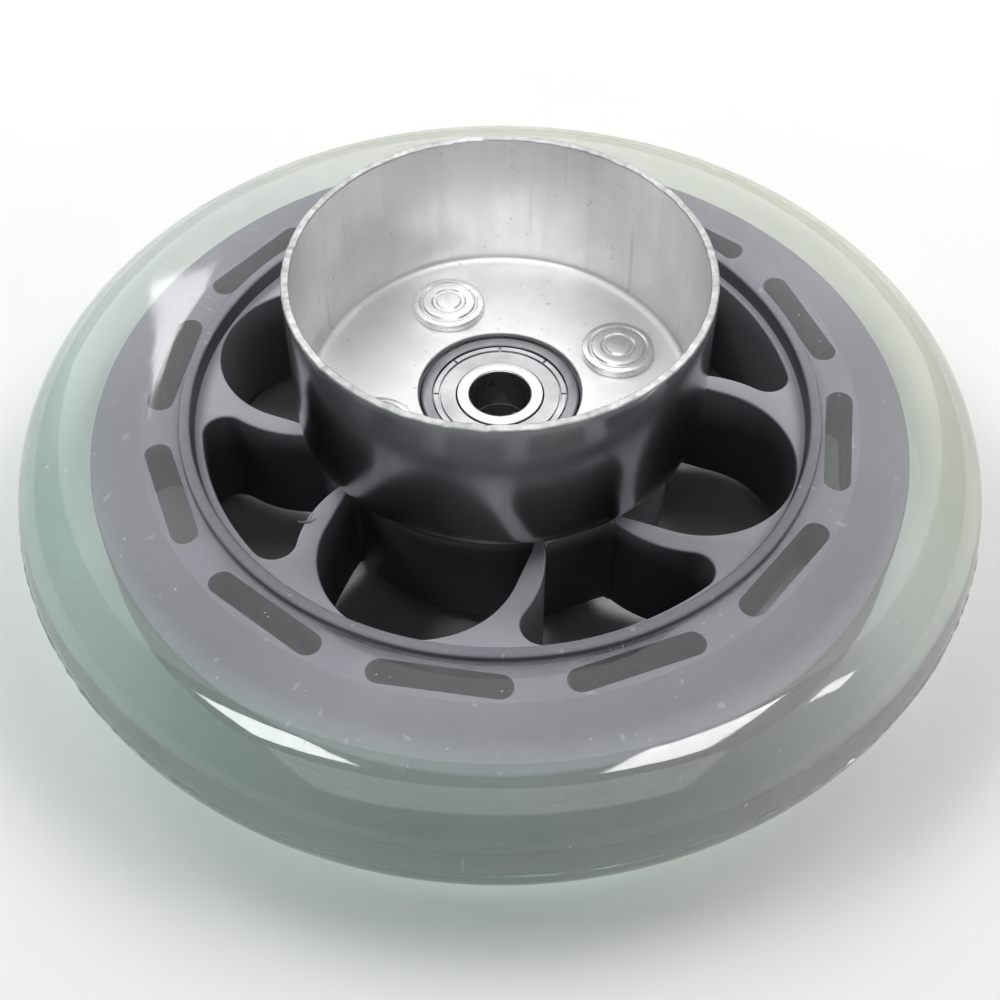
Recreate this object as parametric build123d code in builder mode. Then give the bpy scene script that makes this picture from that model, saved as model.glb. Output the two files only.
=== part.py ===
"""Brake-drum caster wheel: clear cast tyre, moulded core with eight curved spokes,
deep-drawn brake drum held by four rivets, and two shielded 10 x 26 x 8 ball bearings.

The wheel lies on its rear rim lip: +Z is the spin axis and the drum mouth faces up.
The origin is on the spin axis, in the plane of the rear lip. Millimetres.
"""
from build123d import *
import os
from math import acos, atan2, cos, degrees, radians, sin, sqrt

os.makedirs("parts", exist_ok=True)

# ---------------------------------------------------------------- driving dimensions
wheel_d = 160.0           # outside diameter of the tyre
tyre_width = 24.0         # width of the full-round tyre section
hub_width = 25.0          # over the two rim lips
axle_d = 10.0             # bore of the bearings and of the spacer

mid_z = hub_width / 2
front_z = hub_width

# rim of the core
lip_outer_r = 52.2
lip_inner_r = 50.3
lip_edge = 0.6
band_outer_r = 67.0       # anchor band, buried in the tyre, thinner from band_flat_r to its edge
band_flat_r = 58.5
band_root_half = 9.25
band_edge_half = 3.0
band_edge_round = 0.8
web_r = 49.8              # where the inner wall of the rim meets the web
web_half = 9.9            # half the depth of the spokes
slot_count = 12
slot_first_deg = 21.0
slot_r = 55.1
slot_length = 21.6
slot_width = 4.2

# spokes and windows, four of each kind
window_deg = 24.0         # direction of the first lobed window and of the first rivet
arch_centre_r = 33.9
arch_r = 15.5
spoke_thick = 3.6
lobe_outer_r = 48.5
lobe_round = 3.5
hub_disc_r = 28.5         # inner end of the arched windows
lobe_inner_r = 29.5       # inner end of the lobed windows
lobe_inner_round = 2.0
pad_r = 30.5              # raised seat under the drum floor
hub_tube_r = 17.0
hub_end_z = 1.0           # rear end of the hub tube

# tyre face beside the lip
face_dip = 0.35           # the cast face dips a little towards the lip
face_dip_width = 2.5

# brake drum
drum_outer_r = 33.0
sheet = 1.25
drum_top_z = 51.6
floor_top_z = 25.7
drum_corner = 1.8         # inside corner between wall and floor
drum_hole_r = 13.35
floor_under_z = floor_top_z - sheet

# drum rivets
rivet_circle_r = 21.4
rivet_shank_r = 2.5
rivet_head_r = 6.1
rivet_head_h = 1.6
rivet_button_r = 1.9      # raised middle of the head
rivet_groove_r = 2.7      # middle of the ring groove round the button
rivet_groove_depth = 0.35
rivet_ring_r = 4.4        # outer edge of the raised ring
rivet_ring_drop = 0.1
rivet_skirt_r = 5.7
rivet_skirt_h = 0.7
rivet_rim_h = 0.6
washer_r = 4.2
washer_t = 0.8
tail_r = 3.4              # riveted-over end of the shank
tail_end_r = 2.7
tail_h = 1.1
relief_r = 3.8            # blind relief holes in the rear of the hub disc
relief_circle_r = 22.0
relief_depth = 12.0

# bearings
bearing_or = 13.0
bearing_b = 8.0
bearing_front_z = 25.0    # outer face of the front bearing
bearing_rear_z = 0.4      # outer face of the rear bearing
ring_chamfer = 0.35
inner_land_r = 7.05
outer_land_r = 11.0
pitch_r = 9.0
ball_r = 2.38
groove_r = 2.5
ball_count = 7
cage_sheet = 0.45
cage_inner_r = 7.9
cage_outer_r = 10.1
pocket_r = 2.47
pocket_wall = 0.33
cage_rivet_r = 0.35
cage_rivet_head_r = 0.6
cage_rivet_head_h = 0.2
shield_t = 0.3
shield_inner_r = 7.25
shield_flat_r = 9.65
shield_step_r = 9.95
shield_curl_r = 10.9
shield_rim_r = 11.2
shield_slope = 0.1        # lean of the shield's upright walls
shield_curl_rise = 0.05   # the curled rim stands this much above the flat
shield_recess = 0.3       # outer face of the shield below the ring face
shield_seat = 1.0         # depth of the groove that holds the shield
nick_count = 8
nick_width = 0.35

# spacer and its shoulder in the core
seat_shoulder_r = 11.0
spacer_r = 6.9
spacer_play = 0.03        # the spacer's bore is this much larger in radius than the axle

overlap = 0.5             # how far joined solids reach into each other before they fuse
clear = 2.0               # how far a cutting solid runs past the face it opens

axle_r = axle_d / 2
spacer_bore_r = axle_r + spacer_play

web_top_z = mid_z + web_half
web_low_z = mid_z - web_half


def polar(radius, angle):
    """Point at a radius and an angle in degrees."""
    return (radius * cos(radians(angle)), radius * sin(radians(angle)))


# ---------------------------------------------------------------- anchor band (part of the core)
with BuildPart() as anchor_band:
    with BuildSketch(Plane.XZ) as band_section:
        with BuildLine():
            Polyline(
                (lip_outer_r - 1, mid_z - band_root_half),
                (band_flat_r, mid_z - band_root_half),
                (band_outer_r, mid_z - band_edge_half),
                (band_outer_r, mid_z + band_edge_half),
                (band_flat_r, mid_z + band_root_half),
                (lip_outer_r - 1, mid_z + band_root_half),
                close=True,
            )
        make_face()
        fillet(band_section.vertices().group_by(Axis.X)[-1], radius=band_edge_round)
    revolve(axis=Axis.Z)
    with BuildSketch(Plane.XY.offset(mid_z - band_root_half)):
        with PolarLocations(slot_r, slot_count, start_angle=slot_first_deg):
            SlotOverall(slot_length, slot_width, rotation=90)
    extrude(amount=2 * band_root_half, mode=Mode.SUBTRACT)

# ---------------------------------------------------------------- tyre
tyre_tube_r = tyre_width / 2
tyre_crown_r = wheel_d / 2 - tyre_tube_r

with BuildPart() as tyre:
    with BuildSketch(Plane.XZ) as tyre_section:
        with BuildLine():
            face_out = Polyline(
                (lip_outer_r, mid_z + tyre_tube_r - face_dip),
                (lip_outer_r + face_dip_width, mid_z + tyre_tube_r),
                (tyre_crown_r, mid_z + tyre_tube_r),
            )
            tread = ThreePointArc(
                face_out @ 1,
                (tyre_crown_r + tyre_tube_r, mid_z),
                (tyre_crown_r, mid_z - tyre_tube_r),
            )
            Polyline(
                tread @ 1,
                (lip_outer_r + face_dip_width, mid_z - tyre_tube_r),
                (lip_outer_r, mid_z - tyre_tube_r + face_dip),
                face_out @ 0,
            )
        make_face()
    revolve(axis=Axis.Z)
    # the cast tyre closes round the anchor band and fills its slots
    add(anchor_band.part, mode=Mode.SUBTRACT)
tyre.part.label = "tyre"
export_step(tyre.part, "parts/tyre.step")


# ---------------------------------------------------------------- core
def lobe_corner():
    """Centre of the rounding at a lobe tip, in the window's own frame (+X outward).

    It touches the outer edge of the window from inside and the flank of the spoke,
    which is an arc about the neighbouring arched window's centre, from outside.
    """
    far = lobe_outer_r - lobe_round
    near = arch_r + spoke_thick + lobe_round
    span = arch_centre_r
    swing = degrees(acos((far**2 + span**2 - near**2) / (2 * far * span)))
    return polar(far, 45 - swing)


def lobed_window():
    """Outline of a window that is wide at the rim and narrow at the hub."""
    flank_r = arch_r + spoke_thick
    arch_c = Vector(*polar(arch_centre_r, 45))
    tip_c = Vector(*lobe_corner())
    out_dir = tip_c.normalized()
    on_rim = out_dir * lobe_outer_r
    to_arch = (arch_c - tip_c).normalized()
    on_flank = tip_c + to_arch * lobe_round
    tip_mid = tip_c + (out_dir + to_arch).normalized() * lobe_round
    drop = arch_c.X - lobe_inner_r
    foot = Vector(lobe_inner_r, arch_c.Y - sqrt(flank_r**2 - drop**2))
    lean = radians(180) + atan2(arch_c.Y - (on_flank.Y + foot.Y) / 2, arch_c.X - (on_flank.X + foot.X) / 2)
    flank_mid = arch_c + Vector(cos(lean), sin(lean)) * flank_r

    def flip(point):
        return Vector(point.X, -point.Y)

    with BuildSketch(mode=Mode.PRIVATE) as outline:
        with BuildLine():
            ThreePointArc(on_rim, (lobe_outer_r, 0), flip(on_rim))
            ThreePointArc(flip(on_rim), flip(tip_mid), flip(on_flank))
            ThreePointArc(flip(on_flank), flip(flank_mid), flip(foot))
            Line(flip(foot), foot)
            ThreePointArc(foot, flank_mid, on_flank)
            ThreePointArc(on_flank, tip_mid, on_rim)
        make_face()
        inner_corners = outline.vertices().group_by(Axis.X)[0]
        fillet(inner_corners, radius=lobe_inner_round)
    return outline.sketch


def arched_window():
    """Outline of a round-headed window with straight sides down to the hub disc."""
    with BuildSketch(mode=Mode.PRIVATE) as outline:
        with Locations((arch_centre_r, 0)):
            Circle(arch_r)
        with Locations(((hub_disc_r + arch_centre_r) / 2 - 2, 0)):
            Rectangle(arch_centre_r - hub_disc_r + 4, 2 * arch_r)
        Circle(hub_disc_r, mode=Mode.SUBTRACT)
    return outline.sketch


with BuildPart() as hub_core:
    # web and rim with its two lips
    with BuildSketch(Plane.XZ) as core_section:
        with BuildLine():
            Polyline(
                (0, web_low_z),
                (web_r, web_low_z),
                (lip_inner_r, 0),
                (lip_outer_r, 0),
                (lip_outer_r, front_z),
                (lip_inner_r, front_z),
                (web_r, web_top_z),
                (0, web_top_z),
                close=True,
            )
        make_face()
        lip_corners = core_section.vertices().filter_by(lambda v: abs(v.Y - mid_z) > web_half + 1)
        fillet(lip_corners, radius=lip_edge)
    revolve(axis=Axis.Z)
    # seat of the drum and the rear end of the hub tube
    with BuildSketch(Plane.XY.offset(web_top_z - overlap)):
        Circle(pad_r)
    extrude(amount=floor_under_z - web_top_z + overlap)
    with BuildSketch(Plane.XY.offset(hub_end_z)):
        Circle(hub_tube_r)
    extrude(amount=web_low_z - hub_end_z + overlap)
    with BuildSketch(Plane.XY.offset(web_low_z - clear)) as windows:
        for quarter in range(4):
            turn = window_deg + 90 * quarter
            add(lobed_window().rotate(Axis.Z, turn))
            add(arched_window().rotate(Axis.Z, turn + 45))
    extrude(amount=2 * (web_half + clear), mode=Mode.SUBTRACT)
    add(anchor_band.part)
    # bearing seats and the shoulder between them
    with BuildSketch(Plane.XY):
        Circle(seat_shoulder_r)
    extrude(amount=front_z, mode=Mode.SUBTRACT)
    with BuildSketch(Plane.XY.offset(bearing_front_z - bearing_b)):
        Circle(bearing_or)
    extrude(amount=bearing_b, mode=Mode.SUBTRACT)
    with BuildSketch(Plane.XY):
        Circle(bearing_or)
    extrude(amount=bearing_rear_z + bearing_b, mode=Mode.SUBTRACT)
    # rivet holes and relief holes
    with BuildSketch(Plane.XY):
        with PolarLocations(rivet_circle_r, 4, start_angle=window_deg):
            Circle(rivet_shank_r)
    extrude(amount=front_z, mode=Mode.SUBTRACT)
    with BuildSketch(Plane.XY.offset(web_low_z)):
        with PolarLocations(relief_circle_r, 4, start_angle=window_deg + 45):
            Circle(relief_r)
    extrude(amount=relief_depth, mode=Mode.SUBTRACT)
hub_core.part.label = "hub_core"
export_step(hub_core.part, "parts/hub_core.step")

# ---------------------------------------------------------------- brake drum
drum_inner_r = drum_outer_r - sheet
outer_corner = drum_corner + sheet

with BuildPart() as brake_drum:
    with BuildSketch(Plane.XZ) as drum_section:
        with BuildLine():
            inside = Polyline(
                (drum_inner_r, drum_top_z),
                (drum_inner_r, floor_top_z + drum_corner),
            )
            bend_in = RadiusArc(inside @ 1, (drum_inner_r - drum_corner, floor_top_z), drum_corner)
            floor = Polyline(
                bend_in @ 1,
                (drum_hole_r, floor_top_z),
                (drum_hole_r, floor_under_z),
                (drum_outer_r - outer_corner, floor_under_z),
            )
            bend_out = RadiusArc(floor @ 1, (drum_outer_r, floor_under_z + outer_corner), -outer_corner)
            Polyline(bend_out @ 1, (drum_outer_r, drum_top_z), inside @ 0)
        make_face()
    revolve(axis=Axis.Z)
    with BuildSketch(Plane.XY.offset(floor_under_z)):
        with PolarLocations(rivet_circle_r, 4, start_angle=window_deg):
            Circle(rivet_shank_r)
    extrude(amount=sheet, mode=Mode.SUBTRACT)
brake_drum.part.label = "brake_drum"
export_step(brake_drum.part, "parts/brake_drum.step")

# ---------------------------------------------------------------- drum rivets and washers
rivet_places = [polar(rivet_circle_r, window_deg + 90 * k) for k in range(4)]
head_top_z = floor_top_z + rivet_head_h
groove_half = (rivet_groove_r - rivet_button_r) / 2
washer_low_z = web_low_z - washer_t

with BuildPart() as drum_rivets:
    for x, y in rivet_places:
        with BuildSketch(Plane((x, y, 0), x_dir=(1, 0, 0), z_dir=(0, -1, 0))):
            with BuildLine():
                # head with a raised button, a ring groove, a raised ring and a low skirt
                Polyline(
                    (0, head_top_z),
                    (rivet_button_r, head_top_z),
                    (rivet_groove_r - groove_half, head_top_z - rivet_groove_depth),
                    (rivet_groove_r + groove_half, head_top_z - rivet_groove_depth),
                    (rivet_groove_r + 2 * groove_half, head_top_z - rivet_ring_drop),
                    (rivet_ring_r, head_top_z - rivet_ring_drop),
                    (rivet_ring_r + groove_half, floor_top_z + rivet_skirt_h + rivet_ring_drop),
                    (rivet_skirt_r, floor_top_z + rivet_skirt_h),
                    (rivet_head_r, floor_top_z + rivet_rim_h),
                    (rivet_head_r, floor_top_z),
                    (rivet_shank_r, floor_top_z),
                    (rivet_shank_r, washer_low_z),
                    (tail_r, washer_low_z),
                    (tail_end_r, washer_low_z - tail_h),
                    (0, washer_low_z - tail_h),
                    close=True,
                )
            make_face()
        revolve(axis=Axis((x, y, 0), (0, 0, 1)))
drum_rivets.part.label = "drum_rivets"
export_step(drum_rivets.part, "parts/drum_rivets.step")

with BuildPart() as rivet_washers:
    with BuildSketch(Plane.XY.offset(washer_low_z)):
        with PolarLocations(rivet_circle_r, 4, start_angle=window_deg):
            Circle(washer_r)
            Circle(rivet_shank_r, mode=Mode.SUBTRACT)
    extrude(amount=washer_t)
rivet_washers.part.label = "rivet_washers"
export_step(rivet_washers.part, "parts/rivet_washers.step")


# ---------------------------------------------------------------- bearings
def outer_ring_profile(low, high):
    """Outer ring: half section with raceway and two shield grooves."""
    mid = (low + high) / 2
    reach = sqrt(groove_r**2 - (outer_land_r - pitch_r) ** 2)
    with BuildSketch(Plane.XZ, mode=Mode.PRIVATE) as section:
        with BuildLine():
            lower = Polyline(
                (outer_land_r, mid - reach),
                (outer_land_r, low + shield_seat),
                (shield_rim_r, low + shield_seat),
                (shield_rim_r, low + shield_seat - shield_t),
                (outer_land_r, low + shield_seat - shield_t),
                (outer_land_r, low),
                (bearing_or - ring_chamfer, low),
                (bearing_or, low + ring_chamfer),
                (bearing_or, high - ring_chamfer),
                (bearing_or - ring_chamfer, high),
                (outer_land_r, high),
                (outer_land_r, high - shield_seat + shield_t),
                (shield_rim_r, high - shield_seat + shield_t),
                (shield_rim_r, high - shield_seat),
                (outer_land_r, high - shield_seat),
                (outer_land_r, mid + reach),
            )
            ThreePointArc(lower @ 1, (pitch_r + groove_r, mid), lower @ 0)
        make_face()
    return section.sketch


def inner_ring_profile(low, high):
    """Inner ring: half section with raceway and chamfered bore."""
    mid = (low + high) / 2
    reach = sqrt(groove_r**2 - (pitch_r - inner_land_r) ** 2)
    with BuildSketch(Plane.XZ, mode=Mode.PRIVATE) as section:
        with BuildLine():
            upper = Polyline(
                (inner_land_r, mid + reach),
                (inner_land_r, high - ring_chamfer / 2),
                (inner_land_r - ring_chamfer / 2, high),
                (axle_r + ring_chamfer, high),
                (axle_r, high - ring_chamfer),
                (axle_r, low + ring_chamfer),
                (axle_r + ring_chamfer, low),
                (inner_land_r - ring_chamfer / 2, low),
                (inner_land_r, low + ring_chamfer / 2),
                (inner_land_r, mid - reach),
            )
            ThreePointArc(upper @ 1, (pitch_r - groove_r, mid), upper @ 0)
        make_face()
    return section.sketch


def shield_profile(face, out):
    """Shield half section; out is +1 when the bearing's end face looks up, else -1."""
    flat = face - out * shield_recess
    seat = face - out * shield_seat
    with BuildSketch(Plane.XZ, mode=Mode.PRIVATE) as section:
        with BuildLine():
            Polyline(
                (shield_inner_r, flat),
                (shield_flat_r, flat),
                (shield_flat_r + shield_slope, seat + out * shield_t),
                (shield_step_r, seat + out * shield_t),
                (shield_step_r + shield_slope, flat + out * shield_curl_rise),
                (shield_curl_r - shield_slope, flat + out * shield_curl_rise),
                (shield_curl_r, seat + out * shield_t),
                (shield_rim_r, seat + out * shield_t),
                (shield_rim_r, seat),
                (shield_flat_r - shield_t, seat),
                (shield_flat_r - shield_t, flat - out * shield_t),
                (shield_inner_r, flat - out * shield_t),
                close=True,
            )
        make_face()
    return section.sketch


def pocket_plane(angle, mid):
    """Plane across the cage at one ball: its normal is radial and its Y is the spin axis."""
    outward = Vector(cos(radians(angle)), sin(radians(angle)), 0)
    sideways = Vector(-outward.Y, outward.X, 0)
    return Plane(outward * cage_inner_r + Vector(0, 0, mid), x_dir=sideways, z_dir=outward)


def write_bearing(end, low):
    """Write the nodes of one bearing; end names it and low is its lower face."""
    high = low + bearing_b
    mid = (low + high) / 2
    step = 360 / ball_count
    ball_places = [polar(pitch_r, step * k) for k in range(ball_count)]
    rivet_spots = [polar(pitch_r, step * (k + 0.5)) for k in range(ball_count)]

    with BuildPart() as outer_ring:
        add(outer_ring_profile(low, high))
        revolve(axis=Axis.Z)
    outer_ring.part.label = end + "_outer_ring"
    export_step(outer_ring.part, "parts/" + end + "_outer_ring.step")

    with BuildPart() as inner_ring:
        add(inner_ring_profile(low, high))
        revolve(axis=Axis.Z)
    inner_ring.part.label = end + "_inner_ring"
    export_step(inner_ring.part, "parts/" + end + "_inner_ring.step")

    with BuildPart() as balls:
        with Locations([(x, y, mid) for x, y in ball_places]):
            Sphere(ball_r)
    balls.part.label = end + "_balls"
    export_step(balls.part, "parts/" + end + "_balls.step")

    for side, out in (("upper", 1), ("lower", -1)):
        with BuildPart() as cage:
            with BuildSketch(Plane.XY.offset(mid)):
                Circle(cage_outer_r)
                Circle(cage_inner_r, mode=Mode.SUBTRACT)
            extrude(amount=out * cage_sheet)
            # a bridge over each ball, pressed from the same strip
            for k in range(ball_count):
                with BuildSketch(pocket_plane(step * k, mid)):
                    Circle(pocket_r + pocket_wall)
                    with Locations((0, -out * pocket_r)):
                        Rectangle(4 * pocket_r, 2 * pocket_r, mode=Mode.SUBTRACT)
                extrude(amount=cage_outer_r - cage_inner_r)
            for k in range(ball_count):
                with BuildSketch(pocket_plane(step * k, mid)):
                    Circle(pocket_r)
                extrude(amount=cage_outer_r, both=True, mode=Mode.SUBTRACT)
            with BuildSketch(Plane.XY.offset(mid)):
                with Locations(rivet_spots):
                    Circle(cage_rivet_r)
            extrude(amount=out * cage_sheet, mode=Mode.SUBTRACT)
        cage.part.label = end + "_cage_" + side
        export_step(cage.part, "parts/" + end + "_cage_" + side + ".step")

    with BuildPart() as cage_rivets:
        with Locations([(x, y, mid) for x, y in rivet_spots]):
            Cylinder(cage_rivet_r, 2 * cage_sheet)
        for out in (1, -1):
            head_z = mid + out * (cage_sheet + cage_rivet_head_h / 2)
            with Locations([(x, y, head_z) for x, y in rivet_spots]):
                Cylinder(cage_rivet_head_r, cage_rivet_head_h)
    cage_rivets.part.label = end + "_cage_rivets"
    export_step(cage_rivets.part, "parts/" + end + "_cage_rivets.step")

    for side, face, out in (("upper", high, 1), ("lower", low, -1)):
        with BuildPart() as shield:
            add(shield_profile(face, out))
            revolve(axis=Axis.Z)
            # crimp nicks round the curled rim
            curl_r = (shield_step_r + shield_curl_r) / 2
            curl_width = shield_curl_r - shield_step_r + 0.4
            with BuildSketch(Plane.XY.offset(face)):
                with PolarLocations(curl_r, nick_count):
                    Rectangle(curl_width, nick_width)
            extrude(amount=-out * (shield_seat - shield_t), mode=Mode.SUBTRACT)
        shield.part.label = end + "_shield_" + side
        export_step(shield.part, "parts/" + end + "_shield_" + side + ".step")


write_bearing("front", bearing_front_z - bearing_b)
write_bearing("rear", bearing_rear_z)

# ---------------------------------------------------------------- spacer between the inner rings
spacer_low_z = bearing_rear_z + bearing_b
spacer_high_z = bearing_front_z - bearing_b

with BuildPart() as bearing_spacer:
    with BuildSketch(Plane.XY.offset(spacer_low_z)):
        Circle(spacer_r)
        Circle(spacer_bore_r, mode=Mode.SUBTRACT)
    extrude(amount=spacer_high_z - spacer_low_z)
bearing_spacer.part.label = "bearing_spacer"
export_step(bearing_spacer.part, "parts/bearing_spacer.step")
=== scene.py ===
import math
import random

import bmesh
import bpy
from mathutils import Matrix, Vector


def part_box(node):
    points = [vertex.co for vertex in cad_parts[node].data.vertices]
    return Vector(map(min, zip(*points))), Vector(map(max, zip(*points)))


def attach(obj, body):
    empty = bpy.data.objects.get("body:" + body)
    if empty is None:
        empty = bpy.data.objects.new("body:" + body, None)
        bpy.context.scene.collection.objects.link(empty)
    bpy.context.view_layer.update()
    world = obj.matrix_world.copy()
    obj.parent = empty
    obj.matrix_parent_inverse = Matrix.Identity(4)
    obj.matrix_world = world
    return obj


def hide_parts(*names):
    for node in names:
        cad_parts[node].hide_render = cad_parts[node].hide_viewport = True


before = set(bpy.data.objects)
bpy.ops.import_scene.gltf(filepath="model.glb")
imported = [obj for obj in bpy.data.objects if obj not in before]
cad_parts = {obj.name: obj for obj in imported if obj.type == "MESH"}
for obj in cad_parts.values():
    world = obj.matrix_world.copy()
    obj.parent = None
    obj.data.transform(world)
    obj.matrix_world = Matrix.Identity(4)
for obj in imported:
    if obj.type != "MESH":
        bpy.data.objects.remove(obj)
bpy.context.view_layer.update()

MM = 0.001
TAU = 2 * math.pi
random.seed(7)


# ------------------------------------------------------------------ sizes read from the frame, in mm
def extent(node):
    """Lowest z, highest z and outer radius of a node that is round about the spin axis."""
    low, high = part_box(node)
    reach = max(abs(c) for c in (low.x, low.y, high.x, high.y))
    return low.z / MM, high.z / MM, reach / MM


tyre_low, tyre_high, wheel_r = extent("tyre")
core_low, core_high, band_r = extent("hub_core")
drum_low, drum_high, drum_r = extent("brake_drum")
ring_low, ring_high, bearing_r = extent("front_outer_ring")
rear_low, rear_high, _ = extent("rear_outer_ring")
rivet_low, rivet_high, _ = extent("drum_rivets")
washer_low = extent("rivet_washers")[0]
race_r = extent("front_inner_ring")[2]
mid_z = (tyre_low + tyre_high) / 2
tube_r = (tyre_high - tyre_low) / 2

# proportions of the wheel, as in the part
LIP_R = 52.2
LIP_IN_R = 50.3
WEB_R = 49.8
WEB_HALF = 9.9
BAND_FLAT_R = 58.5
BAND_ROOT_HALF = 9.25
BAND_EDGE_HALF = 3.0
SHEET = 1.25
PATTERN_DEG = 24.0
ARCH_C = 33.9
ARCH_R = 15.5
SPOKE = 3.6
LOBE_R = 48.5
LOBE_ROUND = 3.5
HUB_DISC_R = 28.5
LOBE_IN = 29.5
PAD_R = 30.5
SLOT_R = 55.1
SLOT_L = 21.6
SLOT_W = 4.2
SLOT_DEG = 21.0
RIVET_R = 21.4
HEAD_R = 6.1
SHANK_R = 2.5
DRUM_HOLE_R = 13.35
DRUM_CORNER = 1.8
AXLE_R = 5.0
FACE_DIP = 0.35          # the cast face dips a little towards the lip
FACE_DIP_W = 2.5
FLASH = 0.30             # height of the mould's flash line on the tread
TREAD_INSET = 0.02       # keeps the tread inside the part's own
TUBE_HUB_R = 17.0        # rear tube of the hub
TUBE_HUB_END = 1.0
SHOULDER_R = 11.0        # bore between the bearings, and the land of their outer rings
PAD_STEP = 2.2
TAIL_R = 3.4             # riveted-over end of the shank
TAIL_END_R = 2.7
SLOT_COUNT = 12
web_top = mid_z + WEB_HALF
web_low = mid_z - WEB_HALF
floor_top = drum_low + SHEET

CAMERA_BACK = 181.1      # from the spin axis
CAMERA_UP = 187.3        # above the lip
CAMERA_DOWN_DEG = 49.82
CAMERA_LENS = 57.37

BLACK = (0, 0, 0)
WHITE = (1, 1, 1)


# ------------------------------------------------------------------ mesh helpers
def place(name, bm, materials, body, sharp_deg=32.0):
    """Turn a bmesh in millimetres into a piece that rides on a body."""
    bmesh.ops.remove_doubles(bm, verts=bm.verts, dist=1e-4)
    bmesh.ops.scale(bm, vec=(MM, MM, MM), verts=bm.verts)
    bmesh.ops.recalc_face_normals(bm, faces=bm.faces)
    mesh = bpy.data.meshes.new(name)
    bm.to_mesh(mesh)
    bm.free()
    for polygon in mesh.polygons:
        polygon.use_smooth = True
    mesh.set_sharp_from_angle(angle=math.radians(sharp_deg))
    for material in materials:
        mesh.materials.append(material)
    piece = bpy.data.objects.new(name, mesh)
    bpy.context.scene.collection.objects.link(piece)
    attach(piece, body)
    return piece


def soften(corners, steps=5):
    """Round the corners of a closed outline of (x, y, radius) points."""
    outline = []
    count = len(corners)
    for i, (x, y, radius) in enumerate(corners):
        here = Vector((x, y))
        if radius <= 0:
            outline.append(here)
            continue
        back = (Vector(corners[i - 1][:2]) - here).normalized()
        ahead = (Vector(corners[(i + 1) % count][:2]) - here).normalized()
        half = back.angle(ahead) / 2
        reach = radius / math.tan(half)
        centre = here + (back + ahead).normalized() * (radius / math.sin(half))
        start = here + back * reach - centre
        sweep = math.pi - 2 * half
        turn = sweep if ahead.cross(back) > 0 else -sweep
        for k in range(steps + 1):
            a = turn * k / steps
            spun_x = start.x * math.cos(a) - start.y * math.sin(a)
            spun_y = start.x * math.sin(a) + start.y * math.cos(a)
            outline.append(centre + Vector((spun_x, spun_y)))
    return outline


def lathe(bm, profile, segments=240, material_of=None, centre=(0.0, 0.0), wobble=None):
    """Spin a closed (r, z) outline about a vertical axis into bm."""
    rings = []
    for r, z in profile:
        ring = []
        for k in range(segments):
            a = TAU * k / segments
            dr, dz = wobble(r, z, a) if wobble else (0.0, 0.0)
            reach = max(r + dr, 0.0)
            x = centre[0] + reach * math.cos(a)
            y = centre[1] + reach * math.sin(a)
            ring.append(bm.verts.new((x, y, z + dz)))
        rings.append(ring)
    for i, ring in enumerate(rings):
        after = rings[(i + 1) % len(rings)]
        if profile[i][0] < 1e-6 and profile[(i + 1) % len(profile)][0] < 1e-6:
            continue
        for k in range(segments):
            n = (k + 1) % segments
            face = bm.faces.new([ring[k], ring[n], after[n], after[k]])
            if material_of:
                face.material_index = material_of(profile[i], profile[(i + 1) % len(profile)])


def spin(bm, corners, segments, steps=5, centre=(0.0, 0.0)):
    """Spin an outline of (r, z, radius) corners, rounded, into bm."""
    lathe(bm, [(p.x, p.y) for p in soften(corners, steps)], segments, centre=centre)


def arc(cx, cy, r, start, end, steps):
    """Points on an arc, angles in degrees."""
    points = []
    for k in range(steps + 1):
        a = math.radians(start + (end - start) * k / steps)
        points.append(Vector((cx + r * math.cos(a), cy + r * math.sin(a))))
    return points


def turned(points, degrees):
    """Points turned about the spin axis."""
    spin = Matrix.Rotation(math.radians(degrees), 2)
    return [spin @ p for p in points]


def plate(name, outlines, low, high, bevel):
    """A flat plate with holes and rounded edges, as a bmesh in millimetres."""
    curve = bpy.data.curves.new(name + "_outline", "CURVE")
    curve.dimensions = "2D"
    curve.fill_mode = "BOTH"
    curve.extrude = (high - low) / 2 - bevel
    curve.bevel_depth = bevel
    curve.bevel_resolution = 3
    curve.offset = -bevel
    for outline in outlines:
        spline = curve.splines.new("POLY")
        spline.points.add(len(outline) - 1)
        for point, p in zip(spline.points, outline):
            point.co = (p.x, p.y, 0, 1)
        spline.use_cyclic_u = True
    holder = bpy.data.objects.new(name + "_outline", curve)
    bpy.context.scene.collection.objects.link(holder)
    bpy.context.view_layer.update()
    mesh = bpy.data.meshes.new_from_object(holder)
    bm = bmesh.new()
    bm.from_mesh(mesh)
    bmesh.ops.translate(bm, vec=(0, 0, (low + high) / 2), verts=bm.verts)
    bpy.data.objects.remove(holder)
    bpy.data.curves.remove(curve)
    bpy.data.meshes.remove(mesh)
    return bm


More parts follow.
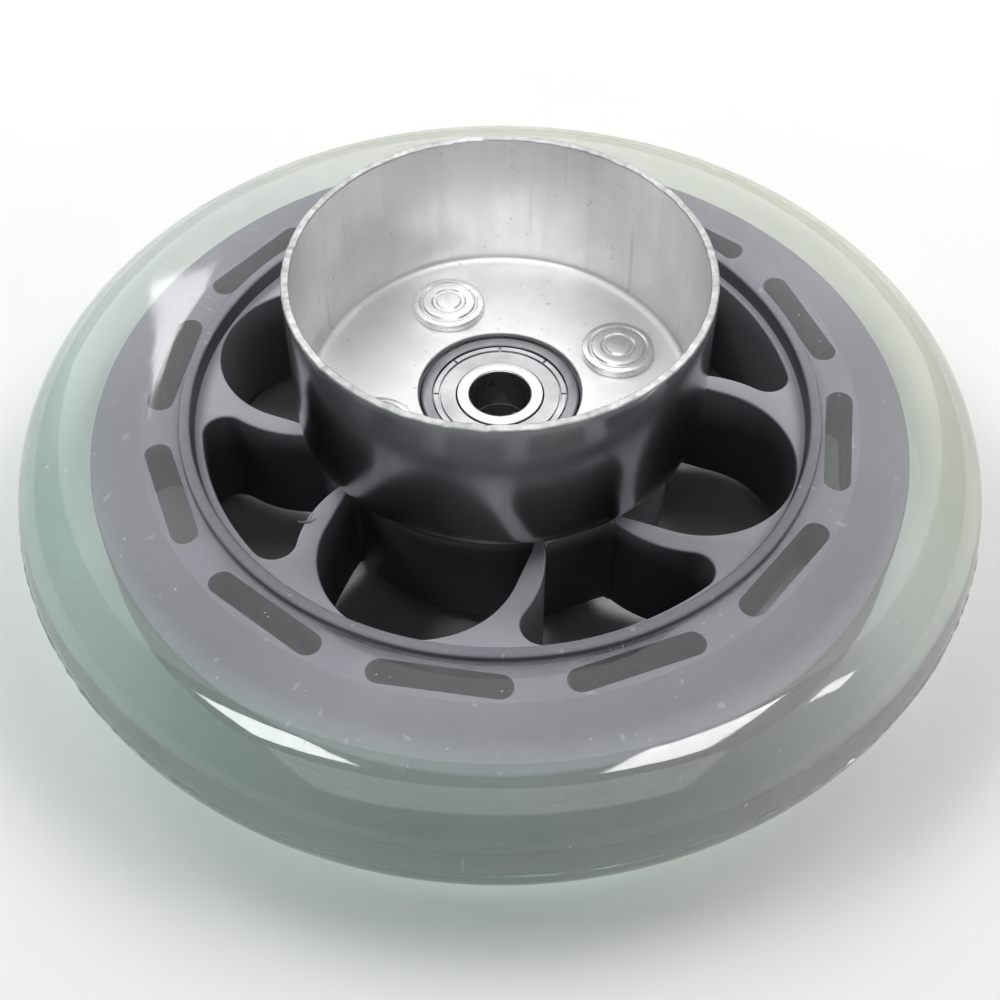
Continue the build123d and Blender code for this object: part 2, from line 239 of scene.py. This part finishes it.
# ------------------------------------------------------------------ material helpers
class Surface:
    """A node material whose colour, roughness and bump come from noise in the wheel's own frame."""

    def __init__(self, name):
        self.material = bpy.data.materials.new(name)
        self.material.use_nodes = True
        self.nodes = self.material.node_tree.nodes
        self.links = self.material.node_tree.links
        self.shader = self.nodes["Principled BSDF"]
        self.coords = self.nodes.new("ShaderNodeTexCoord")

    def link(self, a, b):
        self.links.new(a, b)

    def noise(self, scale, detail=4.0, rough=0.55, stretch=(1, 1, 1)):
        mapping = self.nodes.new("ShaderNodeMapping")
        mapping.inputs["Scale"].default_value = stretch
        self.link(self.coords.outputs["Object"], mapping.inputs["Vector"])
        texture = self.nodes.new("ShaderNodeTexNoise")
        texture.inputs["Scale"].default_value = scale
        texture.inputs["Detail"].default_value = detail
        texture.inputs["Roughness"].default_value = rough
        self.link(mapping.outputs["Vector"], texture.inputs["Vector"])
        return texture.outputs["Fac"]

    def ramp(self, factor, stops):
        ramp = self.nodes.new("ShaderNodeValToRGB")
        elements = ramp.color_ramp.elements
        while len(elements) < len(stops):
            elements.new(0.5)
        for element, (position, colour) in zip(elements, stops):
            element.position = position
            element.color = (*colour, 1)
        self.link(factor, ramp.inputs["Fac"])
        return ramp.outputs["Color"]

    def mask(self, factor, start, end):
        """Black below start, white above end."""
        return self.ramp(factor, [(0.0, BLACK), (start, BLACK), (end, WHITE)])

    def spread(self, factor, low, high, start=0.3, end=0.7):
        """Map a factor between start and end on to low..high."""
        node = self.nodes.new("ShaderNodeMapRange")
        node.inputs["From Min"].default_value = start
        node.inputs["From Max"].default_value = end
        node.inputs["To Min"].default_value = low
        node.inputs["To Max"].default_value = high
        self.link(factor, node.inputs["Value"])
        return node.outputs["Result"]

    def mix(self, factor, a, b, mode="MIX"):
        node = self.nodes.new("ShaderNodeMix")
        node.data_type = "RGBA"
        node.blend_type = mode
        for socket, value in ((node.inputs[0], factor), (node.inputs[6], a), (node.inputs[7], b)):
            if isinstance(value, bpy.types.NodeSocket):
                self.link(value, socket)
            elif isinstance(value, (int, float)):
                socket.default_value = value
            else:
                socket.default_value = (*value, 1)
        return node.outputs[2]

    def math(self, operation, a, b=None):
        node = self.nodes.new("ShaderNodeMath")
        node.operation = operation
        for socket, value in zip(node.inputs, (a, b)):
            if isinstance(value, bpy.types.NodeSocket):
                self.link(value, socket)
            elif value is not None:
                socket.default_value = value
        return node.outputs[0]

    def bump(self, heights):
        """heights: list of (factor, strength, distance in metres), laid over each other."""
        normal = None
        for factor, strength, distance in heights:
            node = self.nodes.new("ShaderNodeBump")
            node.inputs["Strength"].default_value = strength
            node.inputs["Distance"].default_value = distance
            self.link(factor, node.inputs["Height"])
            if normal:
                self.link(normal, node.inputs["Normal"])
            normal = node.outputs["Normal"]
        self.link(normal, self.shader.inputs["Normal"])

    def axis(self, which):
        """One coordinate of the point in the wheel's own frame, in metres."""
        split = self.nodes.new("ShaderNodeSeparateXYZ")
        self.link(self.coords.outputs["Object"], split.inputs["Vector"])
        return split.outputs[which]

    def set(self, **values):
        for key, value in values.items():
            socket = self.shader.inputs[key.replace("_", " ")]
            if isinstance(value, bpy.types.NodeSocket):
                self.link(value, socket)
            else:
                socket.default_value = value


DRAWN = (1.0, 1.0, 0.05)   # noise drawn out along the spin axis
EVEN = (1, 1, 1)


def grey(value):
    """A neutral colour."""
    return (value, value, value)


def clear_polyurethane():
    """Clear casting: milky where it is thick, with a painted tint of the light around it, greenish on one
    side and cream on the other.
    """
    s = Surface("clear_polyurethane")
    x, y = s.axis("X"), s.axis("Y")
    radius = s.math("SQRT", s.math("ADD", s.math("MULTIPLY", x, x), s.math("MULTIPLY", y, y)))
    thick = s.spread(radius, 0.0, 1.0, (band_r - 2) * MM, (band_r + 4) * MM)
    cloud = s.spread(s.noise(28.0, 3.0), -0.03, 0.03)
    # painted light: greenish towards one side and cream towards the other, the colour of the surroundings
    # seen in the casting
    side = s.math("ADD", s.math("MULTIPLY", x, 4.0), s.math("MULTIPLY", y, 5.0))
    side = s.math("ADD", s.math("ADD", side, 0.5), s.spread(s.noise(9.0, 2.0), -0.12, 0.12))
    painted_surround_tint = s.ramp(side, [(0.05, (0.76, 0.90, 0.84)), (0.45, (0.91, 0.92, 0.91)), (0.95, (0.97, 0.96, 0.87))])
    specks = s.mask(s.noise(1400.0, 1.0), 0.765, 0.80)
    colour = s.mix(thick, (0.92, 0.92, 0.95), painted_surround_tint)
    s.set(Base_Color=s.mix(specks, colour, (0.97, 0.97, 0.95)), IOR=1.48)
    clear = s.math("ADD", s.math("SUBTRACT", 0.91, s.math("MULTIPLY", thick, 0.15)), cloud)
    s.set(Transmission_Weight=s.math("SUBTRACT", clear, s.math("MULTIPLY", specks, 0.35)))
    s.set(Roughness=s.spread(s.noise(60.0, 5.0), 0.035, 0.085))
    depth = s.nodes.new("ShaderNodeVolumeAbsorption")
    depth.inputs["Color"].default_value = (0.55, 0.60, 0.57, 1)
    depth.inputs["Density"].default_value = 34.0
    s.link(depth.outputs["Volume"], s.nodes["Material Output"].inputs["Volume"])
    # part of the lamp light passes the casting, so that its shadow stays pale
    lamp = s.nodes.new("ShaderNodeLightPath").outputs["Is Shadow Ray"]
    passed = s.nodes.new("ShaderNodeBsdfTransparent")
    passed.inputs["Color"].default_value = (0.80, 0.84, 0.82, 1)
    both = s.nodes.new("ShaderNodeMixShader")
    s.link(s.math("MULTIPLY", lamp, s.spread(thick, 0.40, 0.75, 0.0, 1.0)), both.inputs["Fac"])
    s.link(s.shader.outputs["BSDF"], both.inputs[1])
    s.link(passed.outputs["BSDF"], both.inputs[2])
    s.link(both.outputs["Shader"], s.nodes["Material Output"].inputs["Surface"])
    s.bump([(s.noise(26.0, 2.0), 0.30, 0.0010), (s.noise(420.0, 3.0), 0.05, 0.0001)])
    return s.material


def moulded_nylon(name, light, dark):
    """Grey moulding, with painted shade: upright walls are darker than faces that look up or down."""
    s = Surface(name)
    facing = s.nodes.new("ShaderNodeSeparateXYZ")
    s.link(s.coords.outputs["Normal"], facing.inputs["Vector"])
    # painted shade: colour falls to 0.42 on upright walls and stays full on faces that look up or down
    flat = s.spread(s.math("ABSOLUTE", facing.outputs["Z"]), 0.42, 1.0, 0.3, 0.8)
    flow = s.noise(45.0, 5.0, stretch=(1, 1, 0.4))
    grain = s.noise(1500.0, 2.0)
    colour = s.mix(s.spread(flow, 0, 1), light, dark)
    colour = s.mix(s.spread(grain, 0.0, 0.18), colour, (0.40, 0.39, 0.43))
    # pale streaks drawn out along the spin axis: draft marks, with painted highlights where they catch the
    # light
    drag_marks_and_highlights = s.mask(s.noise(520.0, 1.0, 0.5, (1, 1, 0.02)), 0.71, 0.76)
    colour = s.mix(s.math("MULTIPLY", drag_marks_and_highlights, 0.5), colour, (0.46, 0.45, 0.48))
    s.set(Base_Color=s.mix(1.0, colour, flat, "MULTIPLY"))
    s.set(Roughness=s.spread(s.noise(160.0, 4.0), 0.36, 0.52), Specular_IOR_Level=0.45)
    s.bump([(grain, 0.10, 0.00008), (s.noise(70.0, 3.0), 0.12, 0.0004)])
    return s.material


def drawn_steel(name, light, dark, rough_low, rough_high, streak=DRAWN, streak_scale=420.0, dent=0.04):
    """Zinc-plated sheet, light and dark its greys: mottling, draw lines and a few dark specks."""
    s = Surface(name)
    drawn = s.noise(streak_scale, 5.0, 0.6, streak)
    blotch = s.noise(75.0, 6.0, 0.6)
    lines = s.mask(s.noise(700.0, 1.0, 0.5, (1.0, 1.0, 0.03)), 0.72, 0.78)
    marks = s.mask(s.noise(900.0, 2.0), 0.70, 0.74)
    colour = s.mix(s.spread(drawn, 0.0, 0.55, 0.3, 0.7), light, dark)
    colour = s.mix(s.spread(blotch, 0.0, 0.5, 0.4, 0.7), colour, tuple(c * 0.88 for c in dark))
    colour = s.mix(s.math("MULTIPLY", lines, 0.25), colour, (0.35, 0.35, 0.36))
    s.set(Base_Color=s.mix(s.math("MULTIPLY", marks, 0.35), colour, (0.30, 0.30, 0.31)), Metallic=1.0)
    s.set(Roughness=s.math("ADD", s.spread(drawn, rough_low, rough_high), s.spread(blotch, -0.03, 0.05)))
    s.bump([(blotch, dent, 0.0005), (drawn, 0.02, 0.00005)])
    return s.material


def ground_steel(name, light, dark, rough_low, rough_high):
    """Bearing steel with the fine rings that grinding leaves."""
    s = Surface(name)
    x, y = s.axis("X"), s.axis("Y")
    radius = s.math("SQRT", s.math("ADD", s.math("MULTIPLY", x, x), s.math("MULTIPLY", y, y)))
    rings = s.math("SINE", s.math("MULTIPLY", radius, 42000.0))
    wear = s.noise(220.0, 5.0)
    s.set(Base_Color=s.mix(s.spread(wear, 0, 1), light, dark), Metallic=1.0)
    s.set(Roughness=s.math("ADD", s.spread(wear, rough_low, rough_high), s.math("MULTIPLY", rings, 0.03)))
    s.bump([(rings, 0.03, 0.00003), (wear, 0.08, 0.0001)])
    return s.material


nylon = moulded_nylon("grey_nylon", (0.265, 0.258, 0.295), (0.225, 0.218, 0.250))
# a paler copy of the same nylon for the web: painted light on the spokes
painted_light_spoke_nylon = moulded_nylon("painted_light_spoke_nylon", (0.50, 0.49, 0.54), (0.43, 0.42, 0.46))
urethane = clear_polyurethane()
drum_in = drawn_steel("drum_inside", grey(0.90), grey(0.80), 0.30, 0.40)
drum_out = drawn_steel(
    "drum_outside", grey(0.52), (0.40, 0.40, 0.41), 0.14, 0.21, streak_scale=260.0, dent=0.02)
drum_floor = drawn_steel(
    "drum_floor", grey(0.93), grey(0.86), 0.46, 0.56, streak=EVEN, streak_scale=130.0)
cut_edge = drawn_steel(
    "drum_cut_edge", grey(0.66), grey(0.30), 0.30, 0.55, streak=EVEN, streak_scale=900.0, dent=0.5)
rivet_steel = drawn_steel(
    "rivet_steel", grey(0.93), grey(0.82), 0.22, 0.32, streak=EVEN, streak_scale=300.0)
ring_steel = ground_steel("ring_steel", (0.80, 0.80, 0.81), (0.68, 0.68, 0.69), 0.20, 0.32)
# a darker copy of the ring steel for the outer rings: painted shade of their recess below the drum floor
painted_shade_outer_steel = ground_steel("outer_ring_steel_painted_shade", (0.30, 0.30, 0.31), (0.22, 0.22, 0.23), 0.18, 0.28)
shield_steel = ground_steel("shield_steel", (0.62, 0.62, 0.63), (0.50, 0.50, 0.51), 0.28, 0.40)
ball_steel = ground_steel("ball_steel", (0.78, 0.78, 0.79), (0.68, 0.68, 0.69), 0.06, 0.12)
cage_steel = ground_steel("cage_steel", (0.55, 0.54, 0.52), (0.45, 0.44, 0.42), 0.35, 0.50)
spacer_metal = ground_steel("spacer_aluminium", (0.72, 0.72, 0.73), (0.62, 0.62, 0.63), 0.28, 0.40)


# ------------------------------------------------------------------ tyre
def make_tyre():
    """Full-round tread with the ragged flash line of the mould halfway, and two flat faces."""
    crown = wheel_r - tube_r - TREAD_INSET
    profile = [
        Vector((LIP_R - 1.0, tyre_high - FACE_DIP)),
        Vector((LIP_R, tyre_high - FACE_DIP)),
        Vector((LIP_R + 0.6, tyre_high - FACE_DIP * 0.9)),
        Vector((LIP_R + FACE_DIP_W, tyre_high - 0.04)),
        Vector((LIP_R + 2 * FACE_DIP_W, tyre_high)),
        Vector((60.0, tyre_high)),
        Vector((64.0, tyre_high)),
    ]
    rear_face = [Vector((p.x, 2 * mid_z - p.y)) for p in reversed(profile)]
    for p in arc(crown, mid_z, tube_r - FLASH, 90, 3, 40):
        profile.append(Vector((p.x, mid_z + (p.y - mid_z) * tube_r / (tube_r - FLASH))))
    for z_off, drop in ((0.16, FLASH), (0.05, 0.0), (-0.05, 0.0), (-0.16, FLASH)):
        profile.append(Vector((crown + tube_r - drop, mid_z + z_off)))
    for p in arc(crown, mid_z, tube_r - FLASH, -3, -90, 40):
        profile.append(Vector((p.x, mid_z + (p.y - mid_z) * tube_r / (tube_r - FLASH))))
    profile += rear_face
    steps = 480
    ragged = [random.random() ** 2 for _ in range(steps)]

    def wobble(r, z, a):
        if r < crown + tube_r - 0.01:
            return 0.0, 0.0
        return -FLASH * (0.15 + 0.75 * ragged[round(a / TAU * steps) % steps]), 0.0

    bm = bmesh.new()
    lathe(bm, profile, steps, wobble=wobble)
    piece = place("tyre_clear", bm, [urethane], "wheel", 60.0)
    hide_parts("tyre")


# ------------------------------------------------------------------ core
def lobed_outline():
    """Window wide at the rim, narrow at the hub; the axis of symmetry is +X."""
    far = LOBE_R - LOBE_ROUND
    near = ARCH_R + SPOKE + LOBE_ROUND
    swing = math.degrees(math.acos((far**2 + ARCH_C**2 - near**2) / (2 * far * ARCH_C)))
    tip_deg = 45 - swing
    tip = Vector((far * math.cos(math.radians(tip_deg)), far * math.sin(math.radians(tip_deg))))
    arch = Vector((ARCH_C, ARCH_C)) * math.sqrt(0.5)
    towards = arch - tip
    touch_deg = math.degrees(math.atan2(towards.y, towards.x))
    flank_r = ARCH_R + SPOKE
    foot_y = arch.y - math.sqrt(flank_r**2 - (arch.x - LOBE_IN) ** 2)
    foot_deg = math.degrees(math.atan2(foot_y - arch.y, LOBE_IN - arch.x)) % 360
    half = arc(0, 0, LOBE_R, 0, tip_deg, 16)
    half += arc(tip.x, tip.y, LOBE_ROUND, tip_deg, touch_deg, 16)[1:]
    half += arc(arch.x, arch.y, flank_r, (touch_deg + 180) % 360, foot_deg, 20)[1:]
    round_off = 2.0
    foot = half[-1]
    half[-1] = foot + Vector((0.55 * round_off, 0.15))
    half += [foot + Vector((0.15, -0.4)), foot + Vector((0, -round_off))]
    mirror = [Vector((p.x, -p.y)) for p in reversed(half[1:])]
    return half + mirror


def arched_outline():
    """Round-headed window, straight sided down to the hub disc; its axis is +X."""
    side_x = math.sqrt(HUB_DISC_R**2 - ARCH_R**2)
    edge_deg = math.degrees(math.asin(ARCH_R / HUB_DISC_R))
    head = arc(ARCH_C, 0, ARCH_R, -90, 90, 72)
    sides = [
        Vector((side_x + 3, ARCH_R)),
        Vector((side_x + 1.0, ARCH_R - 0.2)),
        Vector((side_x + 0.35, ARCH_R - 0.9)),
    ]
    base = arc(0, 0, HUB_DISC_R, edge_deg - 2.6, -edge_deg + 2.6, 24)
    other = [Vector((p.x, -p.y)) for p in reversed(sides)]
    return head + sides + base + other


def slot_outline(half_width, half_length):
    """Stadium across the radius, centred on +X."""
    flat = half_length - half_width
    return arc(SLOT_R, flat, half_width, 0, 180, 14) + arc(SLOT_R, -flat, half_width, 180, 360, 14)


def make_band():
    """Anchor band inside the tyre, cut by its twelve slots."""
    band = bmesh.new()
    spin(band, [
        (LIP_R - 1, mid_z - BAND_ROOT_HALF, 0),
        (BAND_FLAT_R, mid_z - BAND_ROOT_HALF, 0),
        (band_r, mid_z - BAND_EDGE_HALF, 0.8),
        (band_r, mid_z + BAND_EDGE_HALF, 0.8),
        (BAND_FLAT_R, mid_z + BAND_ROOT_HALF, 0),
        (LIP_R - 1, mid_z + BAND_ROOT_HALF, 0),
    ], 240)
    piece = place("core_band", band, [nylon], "wheel", 30.0)
    cutter = bmesh.new()
    for k in range(SLOT_COUNT):
        shape = turned(slot_outline(SLOT_W / 2, SLOT_L / 2), SLOT_DEG + 360 / SLOT_COUNT * k)
        low = [cutter.verts.new((p.x, p.y, mid_z - BAND_ROOT_HALF - 2)) for p in shape]
        high = [cutter.verts.new((p.x, p.y, mid_z + BAND_ROOT_HALF + 2)) for p in shape]
        cutter.faces.new(low)
        cutter.faces.new(high)
        for i in range(len(shape)):
            n = (i + 1) % len(shape)
            cutter.faces.new([low[i], low[n], high[n], high[i]])
    tool = place("core_slot_tool", cutter, [nylon], "wheel")
    cut = piece.modifiers.new("slots", "BOOLEAN")
    cut.operation = "DIFFERENCE"
    cut.object = tool
    bpy.context.view_layer.update()
    finished = bpy.data.meshes.new_from_object(piece.evaluated_get(bpy.context.evaluated_depsgraph_get()))
    piece.modifiers.clear()
    piece.data = finished
    for polygon in finished.polygons:
        polygon.use_smooth = True
    finished.set_sharp_from_angle(angle=math.radians(30.0))
    bpy.data.objects.remove(tool)


def make_core():
    """Web with its eight windows, rim, anchor band and hub."""
    windows = []
    for quarter in range(4):
        turn = PATTERN_DEG + 90 * quarter
        windows.append(turned(lobed_outline(), turn))
        windows.append(turned(arched_outline(), turn + 45))
    outer = arc(0, 0, WEB_R + 0.6, 0, 357, 119)
    bore = arc(0, 0, bearing_r, 0, 357, 119)
    web = plate("core_web", [outer, bore] + windows, web_low, web_top, 0.45)
    piece = place("core_web", web, [painted_light_spoke_nylon], "wheel", 15.0)
    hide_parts("hub_core")

    rim = bmesh.new()
    spin(rim, [
        (WEB_R, web_low, 0.8), (LIP_IN_R, core_low, 0.5), (LIP_R, core_low, 0.6),
        (LIP_R, core_high, 0.6), (LIP_IN_R, core_high, 0.5), (WEB_R, web_top, 0.8),
    ], 300)
    place("core_rim", rim, [nylon], "wheel", 40.0)

    make_band()

    hub = bmesh.new()
    spin(hub, [
        (bearing_r, web_top - 1, 0), (PAD_R - PAD_STEP, web_top - 1, 0),
        (PAD_R - PAD_STEP, drum_low, 0.3), (bearing_r, drum_low, 0.3),
    ], 200)
    spin(hub, [
        (bearing_r, TUBE_HUB_END, 0.4), (TUBE_HUB_R, TUBE_HUB_END, 0.6),
        (TUBE_HUB_R, web_low + 1, 0), (bearing_r, web_low + 1, 0),
    ], 200)
    spin(hub, [
        (SHOULDER_R, rear_high, 0.2), (bearing_r + 0.5, rear_high, 0),
        (bearing_r + 0.5, ring_low, 0), (SHOULDER_R, ring_low, 0.2),
    ], 160)
    place("core_hub", hub, [nylon], "wheel", 40.0)


# ------------------------------------------------------------------ drum
def make_drum():
    """Drawn cup with a wavy rim; its faces carry four steels."""
    inner_r = drum_r - SHEET
    corners = soften([
        (inner_r, drum_high, 0.25), (inner_r, floor_top, DRUM_CORNER), (DRUM_HOLE_R, floor_top, 0.25),
        (DRUM_HOLE_R, drum_low, 0.15), (drum_r, drum_low, DRUM_CORNER + SHEET), (drum_r, drum_high, 0.25),
    ], 8)
    profile = []
    for i, p in enumerate(corners):
        q = corners[(i + 1) % len(corners)]
        profile.append(p)
        run = (q - p).length
        pieces = int(run / 1.5)
        for k in range(1, pieces):
            profile.append(p.lerp(q, k / pieces))

    ripple = [(random.uniform(0.02, 0.05), random.randint(2, 60), random.uniform(0, TAU)) for _ in range(18)]

    def wobble(r, z, a):
        near_rim = max(0.0, 1 - (drum_high - z) / 0.9)
        uneven = sum(s * math.sin(n * a + p) for s, n, p in ripple)
        out_of_round = -0.06 + 0.05 * math.sin(2 * a + 0.8) * (z - drum_low) / (drum_high - drum_low)
        return (out_of_round if r > DRUM_HOLE_R + 1 else 0.0), -abs(uneven) * near_rim

    def face_kind(p, q):
        mid = ((p[0] + q[0]) / 2, (p[1] + q[1]) / 2)
        if mid[1] > drum_high - 0.3:
            return 3
        if mid[0] > drum_r - SHEET / 2 or mid[1] < drum_low + 0.5:
            return 1
        if mid[1] < floor_top + 0.6 and mid[0] < inner_r - 0.6:
            return 2
        return 0

    bm = bmesh.new()
    lathe(bm, [(p.x, p.y) for p in profile], 360, face_kind, wobble=wobble)
    piece = place("drum_shell", bm, [drum_in, drum_out, drum_floor, cut_edge], "wheel", 40.0)
    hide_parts("brake_drum")


# ------------------------------------------------------------------ rivets
def make_rivets():
    """Four rivets with stepped heads inside the drum and upset ends at the rear."""
    top = rivet_high
    bm = bmesh.new()
    for k in range(4):
        a = math.radians(PATTERN_DEG + 90 * k)
        centre = (RIVET_R * math.cos(a), RIVET_R * math.sin(a))
        spin(bm, [
            (0, top, 0), (1.9, top, 0.12), (2.15, top - 0.25, 0.1), (2.7, top - 0.25, 0.1),
            (2.95, top - 0.08, 0.1), (4.3, top - 0.10, 0.2), (4.55, top - 0.45, 0.12), (4.8, top - 0.45, 0.1),
            (5.05, top - 0.34, 0.12), (HEAD_R - 0.15, top - 0.42, 0.25), (HEAD_R, floor_top + 0.08, 0),
            (HEAD_R - 0.25, floor_top, 0), (SHANK_R, floor_top, 0), (SHANK_R, washer_low, 0),
            (TAIL_R, washer_low, 0.1), (TAIL_END_R, rivet_low, 0.4), (0, rivet_low, 0),
        ], 72, 4, centre)
    piece = place("rivet_set", bm, [rivet_steel], "wheel", 38.0)
    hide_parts("drum_rivets")


# ------------------------------------------------------------------ bearings
def make_bearing(end, low, high):
    """Outer and inner ring of one bearing, with shield grooves and ball tracks."""
    middle = (low + high) / 2
    bm = bmesh.new()
    spin(bm, [
        (SHOULDER_R, low, 0.2), (bearing_r, low, 0.45),
        (bearing_r, high, 0.45), (SHOULDER_R, high, 0.2),
        (SHOULDER_R, high - 0.7, 0), (11.2, high - 0.7, 0),
        (11.2, high - 1.0, 0), (SHOULDER_R, high - 1.0, 0),
        (SHOULDER_R, high - 2.6, 0), (11.35, high - 3.2, 0), (11.5, middle, 0),
        (11.35, low + 3.2, 0), (SHOULDER_R, low + 2.6, 0),
        (SHOULDER_R, low + 1.0, 0), (11.2, low + 1.0, 0),
        (11.2, low + 0.7, 0), (SHOULDER_R, low + 0.7, 0),
    ], 180, 4)
    piece = place(end + "_ring_outer", bm, [painted_shade_outer_steel], "wheel", 34.0)
    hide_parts(end + "_outer_ring")

    bm = bmesh.new()
    spin(bm, [
        (AXLE_R, low, 0.35), (race_r, low, 0.15), (race_r, low + 2.5, 0),
        (6.65, low + 3.2, 0), (6.5, middle, 0), (6.65, high - 3.2, 0),
        (race_r, high - 2.5, 0), (race_r, high, 0.15), (AXLE_R, high, 0.35),
    ], 160, 4)
    piece = place(end + "_ring_inner", bm, [ring_steel], "inner_races", 34.0)
    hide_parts(end + "_inner_ring")


# ------------------------------------------------------------------ flash left by the moulds
def make_sliver(name, root, tip, width, material, body):
    """A thin curled sliver of flash from root to tip."""
    steps = 6
    run = tip - root
    side = run.cross(Vector((0, 0, 1))).normalized()
    bm = bmesh.new()
    rings = []
    for k in range(steps + 1):
        t = k / steps
        at = root + run * t + side * (0.35 * run.length * math.sin(math.pi * t))
        half = width * (1 - 0.85 * t) / 2
        ring = []
        for across, up in ((1, 0), (0, 1), (-1, 0), (0, -1)):
            ring.append(bm.verts.new(at + side * half * across + Vector((0, 0, half * up))))
        rings.append(ring)
    for a, b in zip(rings, rings[1:]):
        for k in range(4):
            n = (k + 1) % 4
            bm.faces.new([a[k], a[n], b[n], b[k]])
    bm.faces.new(rings[0])
    bm.faces.new(rings[-1])
    place(name, bm, [material], body)


make_tyre()
make_core()
make_sliver(
    "core_flash", Vector((-31.2, -24.9, web_top - 0.2)), Vector((-28.8, -23.6, web_top + 0.7)),
    0.6, painted_light_spoke_nylon, "wheel")
make_sliver(
    "race_burr", Vector((2.4, -5.3, ring_high - 0.15)), Vector((1.9, -4.2, ring_high - 0.1)),
    0.3, ring_steel, "inner_races")
make_drum()
make_rivets()
make_bearing("front", ring_low, ring_high)
make_bearing("rear", rear_low, rear_high)

kept = {
    "rivet_washers": rivet_steel, "bearing_spacer": spacer_metal,
    "front_balls": ball_steel, "rear_balls": ball_steel,
}
for end in ("front", "rear"):
    for side in ("upper", "lower"):
        kept[end + "_shield_" + side] = shield_steel
        kept[end + "_cage_" + side] = cage_steel
    kept[end + "_cage_rivets"] = cage_steel
for node, material in kept.items():
    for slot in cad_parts[node].material_slots:
        slot.material = material


# ------------------------------------------------------------------ stage, light and camera
def make_floor():
    """Plain pale floor."""
    bm = bmesh.new()
    bmesh.ops.create_grid(bm, x_segments=8, y_segments=8, size=3.0)
    mesh = bpy.data.meshes.new("floor")
    bm.to_mesh(mesh)
    bm.free()
    s = Surface("pale_floor")
    s.set(Base_Color=s.mix(s.spread(s.noise(3.0), 0, 1), grey(0.84), grey(0.81)))
    s.set(Roughness=0.8, Specular_IOR_Level=0.05)
    s.bump([(s.noise(300.0, 4.0), 0.03, 0.0002)])
    mesh.materials.append(s.material)
    floor = bpy.data.objects.new("floor", mesh)
    bpy.context.scene.collection.objects.link(floor)


def area_light(name, azimuth, elevation, distance, width, height, radiance,
               colour=WHITE, gloss=True, matte=True, only=None):
    """A rectangular soft light aimed at the wheel; azimuth is from +X towards +Y.

    gloss=False keeps it out of reflections, matte=False keeps it out of diffuse light,
    and only names the one piece that it falls on.
    """
    a, e = math.radians(azimuth), math.radians(elevation)
    spot = Vector((math.cos(a) * math.cos(e), math.sin(a) * math.cos(e), math.sin(e))) * distance
    light = bpy.data.lights.new(name, "AREA")
    light.shape = "RECTANGLE"
    light.size = width
    light.size_y = height
    light.energy = radiance * math.pi * width * height
    light.color = colour
    holder = bpy.data.objects.new(name, light)
    holder.location = spot
    holder.rotation_euler = spot.to_track_quat("Z", "Y").to_euler()
    holder.visible_glossy = gloss
    holder.visible_transmission = gloss
    holder.visible_diffuse = matte
    bpy.context.scene.collection.objects.link(holder)
    if only:
        receivers = bpy.data.collections.new(name + "_receivers")
        receivers.objects.link(bpy.data.objects[only])
        holder.light_linking.receiver_collection = receivers


def make_world():
    """Dim surround that only reflections see."""
    world = bpy.data.worlds.new("studio")
    world.use_nodes = True
    background = world.node_tree.nodes["Background"]
    background.inputs["Color"].default_value = (0.97, 0.98, 1.0, 1)
    background.inputs["Strength"].default_value = 0.33
    world.cycles_visibility.diffuse = False
    bpy.context.scene.world = world


def make_camera():
    """Camera in front of the wheel, 46 degrees above its face."""
    camera = bpy.data.cameras.new("camera")
    camera.sensor_width = 36.0
    camera.lens = CAMERA_LENS
    camera.clip_start = 0.01
    holder = bpy.data.objects.new("camera", camera)
    holder.location = Vector((0.0, -CAMERA_BACK, core_high + CAMERA_UP)) * MM
    holder.rotation_euler = (math.radians(90 - CAMERA_DOWN_DEG), 0.0, 0.0)
    bpy.context.scene.collection.objects.link(holder)
    bpy.context.scene.camera = holder


make_floor()
make_world()
# soft boxes behind and at both sides
area_light("soft_back", 90, 50, 1.8, 3.0, 1.6, 1.15)
area_light("side_left", 152, 46, 1.6, 1.3, 0.6, 4.6, (0.95, 1.0, 0.98), gloss=False)
area_light("side_right", 28, 46, 1.6, 1.3, 0.6, 4.6, (1.0, 0.99, 0.96), gloss=False)
# low washes for the floor and the sides of the tyre
area_light("wash_back", 90, 13, 1.6, 1.6, 0.5, 1.2, gloss=False)
area_light("wash_left", 180, 11, 1.6, 1.6, 0.4, 3.0, gloss=False)
area_light("wash_right", 0, 11, 1.6, 1.6, 0.4, 3.0, gloss=False)
area_light("wash_front", -90, 10, 1.6, 2.2, 0.36, 3.0, gloss=False)
# cards that only reflections see: one in front, one over the drum
area_light("front_card", -90, 54, 1.6, 2.0, 1.0, 1.35, matte=False)
area_light("drum_card", 150, 80, 1.2, 0.9, 0.6, 0.9, matte=False, only="drum_shell")
# windows and roof lights, seen only as glints in the tyre
area_light("back_window", 108, 43, 1.1, 0.06, 0.11, 7.0, matte=False, only="tyre_clear")
area_light("left_roof_light", -172, 66, 1.1, 0.28, 0.28, 14.0, matte=False, only="tyre_clear")
area_light("right_roof_light", 0, 72, 1.1, 0.38, 0.26, 14.0, matte=False, only="tyre_clear")
area_light("right_window", -8, 44, 1.1, 0.10, 0.20, 12.0, matte=False, only="tyre_clear")
make_camera()
bpy.context.scene.view_settings.view_transform = "Standard"
bpy.context.scene.view_settings.look = "Medium High Contrast"
